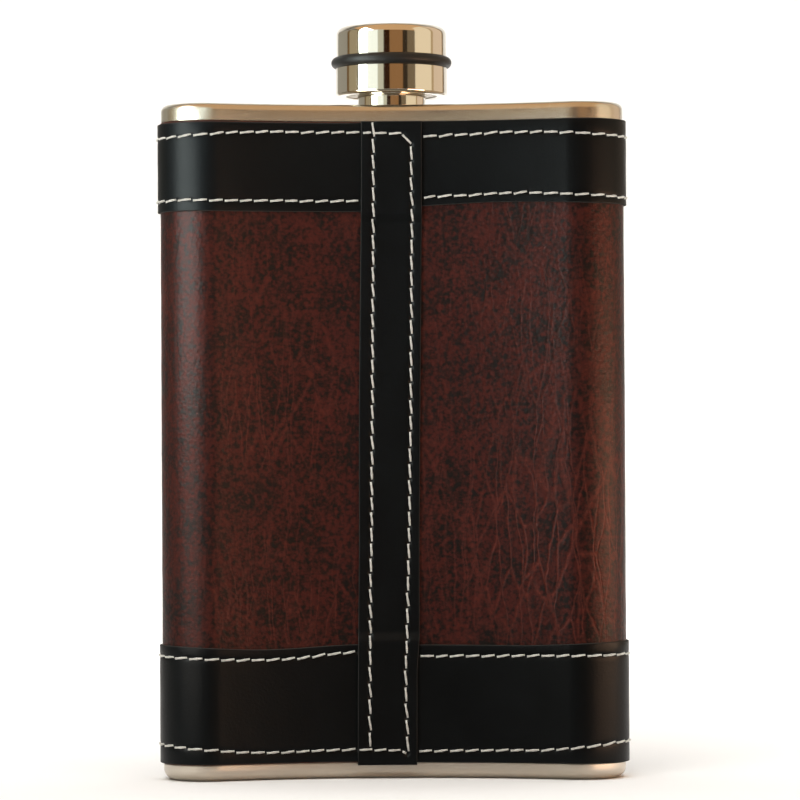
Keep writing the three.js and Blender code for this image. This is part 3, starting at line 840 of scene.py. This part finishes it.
# Against the height in mm: how far the strip's inner face is out of the steel, 0.8 mm over the bands
# and 0.25 mm over the brown sheet, and the x of its two edges.
strip_steps = [(2.8, 0.8), (27.4, 0.8), (29.9, 0.25), (111.7, 0.25), (113.9, 0.8), (133, 0.8)]
left_edge = [(2.8, -7.45), (60, -6.95), (133, -6.15)]
right_edge = [(2.8, 4.5), (20, 4.6), (30, 5.1), (133, 6.05)]


def strip_point(x, offset, height):
    """A point over the back of the body, at a distance out of its outline."""
    return np.stack([x, back_y + np.sqrt((back_radius - offset) ** 2 - x**2), height], -1)


def even_holes(corners, seed, pitch):
    """Needle holes along straight runs between corners, as (x, height) points."""
    corners = np.array(corners) * MM
    holes = [corners[:1]]
    for start, end in zip(corners, corners[1:]):
        stitches = max(1, round(np.linalg.norm(end - start) / pitch))
        holes.append(start + (end - start) * (np.arange(1, stitches + 1) / stitches)[:, None])
    holes = np.concatenate(holes)
    return holes + np.random.default_rng(seed).normal(0, uneven_across, holes.shape)


# The rows run down the left side, along the top and down the right side, and along the foot.
left_row = [(-3.72, 132.35), (-3.9, 100), (-4.35, 60), (-4.9, 26), (-5.0, 6.3)]
round_row = [(-6.0, 130.05), (-3.95, 130.05), (2.2, 130.0), (3.95, 127.5), (4.0, 112), (3.5, 70)]
round_row += [(2.6, 28), (2.2, 22), (2.6, 5.4)]
foot_row = [(2.35, 5.15), (1.3, 5.75), (-7.3, 6.0)]
strip_rows = [
    even_holes(left_row, 11, 3.1 * MM),
    even_holes(round_row, 12, 3.35 * MM),
    even_holes(foot_row, 13, 3.0 * MM),
]

# Columns over the strip's face, closer along its two long rows: first and last share, and count.
columns = ((0, 0.12, 5), (0.14, 0.28, 13), (0.32, 0.74, 12), (0.76, 0.9, 13), (0.92, 1, 4))
across = np.concatenate([np.linspace(*column) for column in columns])
end_round = np.array([0.0, 0.04, 0.1, 0.16]) * MM
middle_rows = np.arange(strip_foot + band_step, strip_top - 0.25 * MM, band_step)
levels = np.concatenate([strip_foot + end_round, middle_rows, strip_top - end_round[::-1]])
left, right = (drift(edge, levels, turns=False)[:, None] for edge in (left_edge, right_edge))
inner = drift(strip_steps, levels, turns=False)[:, None]
corner = np.linspace(0, math.pi / 2, 4)[:-1]
round_x = leather_edge * (1 - np.cos(corner))
round_off = leather_edge * (1 - np.sin(corner))
x = left + leather_edge + (right - left - 2 * leather_edge) * across
z = np.broadcast_to(levels[:, None], x.shape)
outer = np.broadcast_to(inner + strip_thick, x.shape).copy()
for holes in strip_rows:
    seam = np.concatenate([np.linspace(a, b, 12, endpoint=False) for a, b in zip(holes, holes[1:])])
    for spots, depth, spread in ((seam, seam_depth, seam_spread), (holes, hole_depth, hole_spread)):
        away = np.full(x.shape, 1.0)
        for spot_x, spot_z in spots:
            np.minimum(away, (x - spot_x) ** 2 + (z - spot_z) ** 2, out=away)
        outer -= depth * np.exp(-away / spread**2)
# The two short ends are rounded as well.
depth = np.minimum(levels - strip_foot, strip_top - levels)
ease = leather_edge - np.sqrt(np.maximum(0, leather_edge**2 - np.maximum(0, leather_edge - depth) ** 2))
outer -= ease[:, None]
inner_face = [right + (left - right) * share for share in (0, 0.25, 0.5, 0.75, 1)]
x = np.concatenate([left + round_x, x, right - round_x[::-1]] + inner_face, 1)
face_and_sides = [outer[:, :1] - round_off, outer, outer[:, -1:] - round_off[::-1]]
offsets = np.concatenate(face_and_sides + [inner] * len(inner_face), 1)
z = np.broadcast_to(levels[:, None], x.shape)
loops = strip_point(x, offsets, z)
uvs = np.stack([x + 0.5, z], 2)
# Marks the cut edges, painted paler by the leathers: partly their raw colour, partly a painted highlight.
cut = np.ones(x.shape)
cut[3:-3, len(corner) : -len(corner) - len(inner_face)] = 0
seam_strip = swept_shell("black_seam_strip", loops, black_leather, closed=False, uvs=uvs, cut=cut)
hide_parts("back_seam_strip")
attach(seam_strip, "flask")

# ---------------- sewing
# The bands and the strip are lock-stitched by machine with a thick two-ply polyester thread. Each
# stitch is drawn down into its needle holes, and the pull of the thread turns it a little askew.
thread_radius = 0.255 * MM
thread_proud = 0.55  # height of the thread's middle over the leather, as a share of its radius
stitch_gap = 0.48 * MM
stitch_rise = 0.16 * MM
stitch_slant = math.radians(6.5)
uneven_slant = math.radians(2.5)
ply_twist = math.radians(300)  # over the length of a stitch
ply_depth = 0.13  # as a share of the thread's radius

# Two twisted plies of fine filaments: off-white, matt, with a soft sheen along the filaments.
finish = {"Roughness": 0.6, "IOR": 1.5, "Sheen Weight": 0.2}
cream_thread = speckled("bonded_polyester_thread", 5000.0, 3.0, "b2b0a8", "efede6", 0.4, 0.05 * MM, finish)

sewing = bpy.data.node_groups.new("sewing", "GeometryNodeTree")
sewing_inputs = {
    "Seam": ("NodeSocketGeometry", None),
    "Thread radius": ("NodeSocketFloat", thread_radius),
    "Rise": ("NodeSocketFloat", stitch_rise),
    "Slant": ("NodeSocketFloat", stitch_slant),
    "Unevenness": ("NodeSocketFloat", uneven_slant),
    "Seed": ("NodeSocketInt", 1),
    "Thread": ("NodeSocketMaterial", None),
}
for label, (kind, _) in sewing_inputs.items():
    sewing.interface.new_socket(label, in_out="INPUT", socket_type=kind)
sewing.interface.new_socket("Stitches", in_out="OUTPUT", socket_type="NodeSocketGeometry")
given = sewing.nodes.new("NodeGroupInput").outputs

# One stitch, 1 m long along X: thick and raised in the middle, thin and low at both ends.
line = add(sewing, "GeometryNodeCurvePrimitiveLine", {"Start": (-0.5, 0, 0), "End": (0.5, 0, 0)})
line = add(sewing, "GeometryNodeResampleCurve", {"Curve": line, "Count": 8})
share = add(sewing, "GeometryNodeSplineParameter").outputs["Factor"]
aside = add(sewing, "ShaderNodeMath", {0: share, 1: 2.0, 2: -1.0}, operation="MULTIPLY_ADD")
aside = add(sewing, "ShaderNodeMath", {0: aside}, operation="ABSOLUTE")
drop = add(sewing, "ShaderNodeMath", {0: aside, 1: 3.0}, operation="POWER")
lift = add(sewing, "ShaderNodeMath", {0: drop, 1: -2.2, 2: 1.0}, operation="MULTIPLY_ADD")
lift = add(sewing, "ShaderNodeMath", {0: lift, 1: given["Rise"]}, operation="MULTIPLY")
lift = add(sewing, "ShaderNodeCombineXYZ", {"Z": lift})
line = add(sewing, "GeometryNodeSetPosition", {"Geometry": line, "Offset": lift})
thick = add(sewing, "ShaderNodeMath", {0: share, 1: -0.2, 2: 1.06}, operation="MULTIPLY_ADD")
thick = add(sewing, "ShaderNodeMath", {0: drop, 1: -0.5, 2: thick}, operation="MULTIPLY_ADD")
line = add(sewing, "GeometryNodeSetCurveRadius", {"Curve": line, "Radius": thick})
twist = add(sewing, "ShaderNodeMath", {0: share, 1: ply_twist}, operation="MULTIPLY")
line = add(sewing, "GeometryNodeSetCurveTilt", {"Curve": line, "Tilt": twist})
# Its section has eight points, drawn in where the two plies meet.
ply = add(sewing, "GeometryNodeCurvePrimitiveCircle", {"Resolution": 8, "Radius": given["Thread radius"]})
corner = add(sewing, "GeometryNodeInputIndex")
corner = add(sewing, "ShaderNodeMath", {0: corner, 1: math.pi / 2}, operation="MULTIPLY")
corner = add(sewing, "ShaderNodeMath", {0: corner}, operation="COSINE")
lobe = {0: corner, 1: ply_depth, 2: 1 - ply_depth}
lobe = add(sewing, "ShaderNodeMath", lobe, operation="MULTIPLY_ADD")
spot = add(sewing, "GeometryNodeInputPosition")
spot = add(sewing, "ShaderNodeVectorMath", {0: spot, "Scale": lobe}, operation="SCALE")
ply = add(sewing, "GeometryNodeSetPosition", {"Geometry": ply, "Position": spot})
stitch = add(sewing, "GeometryNodeCurveToMesh", {"Curve": line, "Profile Curve": ply, "Fill Caps": True})
# One stitch at each point of the seam, lying on the leather and turned askew about its normal.
carried = {}
for label, kind in (("leather_normal", "FLOAT_VECTOR"), ("along", "FLOAT_VECTOR"), ("span", "FLOAT")):
    carried[label] = add(sewing, "GeometryNodeInputNamedAttribute", {"Name": label}, data_type=kind)
axes = {"Primary Axis": carried["leather_normal"], "Secondary Axis": carried["along"]}
facing = add(sewing, "FunctionNodeAxesToRotation", axes, primary_axis="Z", secondary_axis="X")
most = given["Unevenness"]
least = add(sewing, "ShaderNodeMath", {0: most, 1: -1.0}, operation="MULTIPLY")
draw = {2: least, 3: most, "Seed": given["Seed"]}
askew = add(sewing, "FunctionNodeRandomValue", draw, data_type="FLOAT")
askew = add(sewing, "ShaderNodeMath", {0: given["Slant"], 1: askew}, operation="ADD")
askew = add(sewing, "FunctionNodeAxisAngleToRotation", {"Axis": (0, 0, 1), "Angle": askew})
turned_askew = {"Rotation": facing, "Rotate By": askew}
facing = add(sewing, "FunctionNodeRotateRotation", turned_askew, rotation_space="LOCAL")
size = add(sewing, "ShaderNodeCombineXYZ", {"X": carried["span"], "Y": 1.0, "Z": 1.0})
placed = {"Points": given["Seam"], "Instance": stitch, "Rotation": facing, "Scale": size}
row = add(sewing, "GeometryNodeInstanceOnPoints", placed)
row = add(sewing, "GeometryNodeRealizeInstances", {"Geometry": row})
row = add(sewing, "GeometryNodeSetMaterial", {"Geometry": row, "Material": given["Thread"]})
sewn = sewing.nodes.new("NodeGroupOutput")
sewing.links.new(row.outputs[0], sewn.inputs[0])


def sew(name, node, rows, seed):
    """Stitches between the needle holes of rows, each a pair of hole points and leather normals."""
    middles, directions, normals = [], [], []
    for points, facings in rows:
        middles.append((points[1:] + points[:-1]) / 2)
        directions.append(points[1:] - points[:-1])
        normals.append((facings[1:] + facings[:-1]) / 2)
    middles, directions, normals = (np.concatenate(part) for part in (middles, directions, normals))
    spans = np.linalg.norm(directions, axis=1)
    middles = middles + normals * (thread_radius * thread_proud)
    mesh = bpy.data.meshes.new(name + "_points")
    mesh.from_pydata([tuple(p) for p in middles], [], [])
    set_points(mesh, "leather_normal", "FLOAT_VECTOR", normals)
    set_points(mesh, "along", "FLOAT_VECTOR", directions / spans[:, None])
    set_points(mesh, "span", "FLOAT", np.maximum(spans - stitch_gap, 0.4 * spans))
    piece = new_object(name, mesh)
    modifier = piece.modifiers.new("sewing", "NODES")
    modifier.node_group = sewing
    for item in sewing.interface.items_tree:
        if item.in_out == "INPUT" and item.name != "Seam":
            value = {"Seed": seed, "Thread": cream_thread}.get(item.name, sewing_inputs[item.name][1])
            modifier[item.identifier] = value
    bpy.context.view_layer.update()
    graph = bpy.context.evaluated_depsgraph_get()
    stitches = bpy.data.meshes.new_from_object(piece.evaluated_get(graph))
    piece.modifiers.remove(modifier)
    piece.data = stitches
    stitches.shade_smooth()
    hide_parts(node)
    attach(piece, "flask")


def band_row(seam):
    """The holes of a band's seam as points on the leather, with normals."""
    stations, heights = seam
    points, normals = outline_at(stations)
    points = points + (band_outer - seam_depth) * normals
    return np.column_stack([points, heights]), np.column_stack([normals, np.zeros(len(heights))])


def strip_row(holes):
    """The holes of a row on the strip as points on the leather, with normals."""
    x, z = holes.T
    offset = drift(strip_steps, z, turns=False) + strip_thick - seam_depth
    points = strip_point(x, offset, z)
    normals = np.stack([-points[:, 0], back_y - points[:, 1], np.zeros(len(x))], 1)
    return points, normals / np.linalg.norm(normals, axis=1)[:, None]


band_seams = {
    "top_band_lower": top_seams[0],
    "top_band_upper": top_seams[1],
    "bottom_band_lower": bottom_seams[0],
    "bottom_band_upper": bottom_seams[1],
}
for seed, (seam, holes) in enumerate(band_seams.items(), 21):
    sew(seam + "_stitches", seam + "_stitching", [band_row(holes)], seed)
sew("seam_strip_stitches", "seam_strip_stitching", [strip_row(holes) for holes in strip_rows], 25)
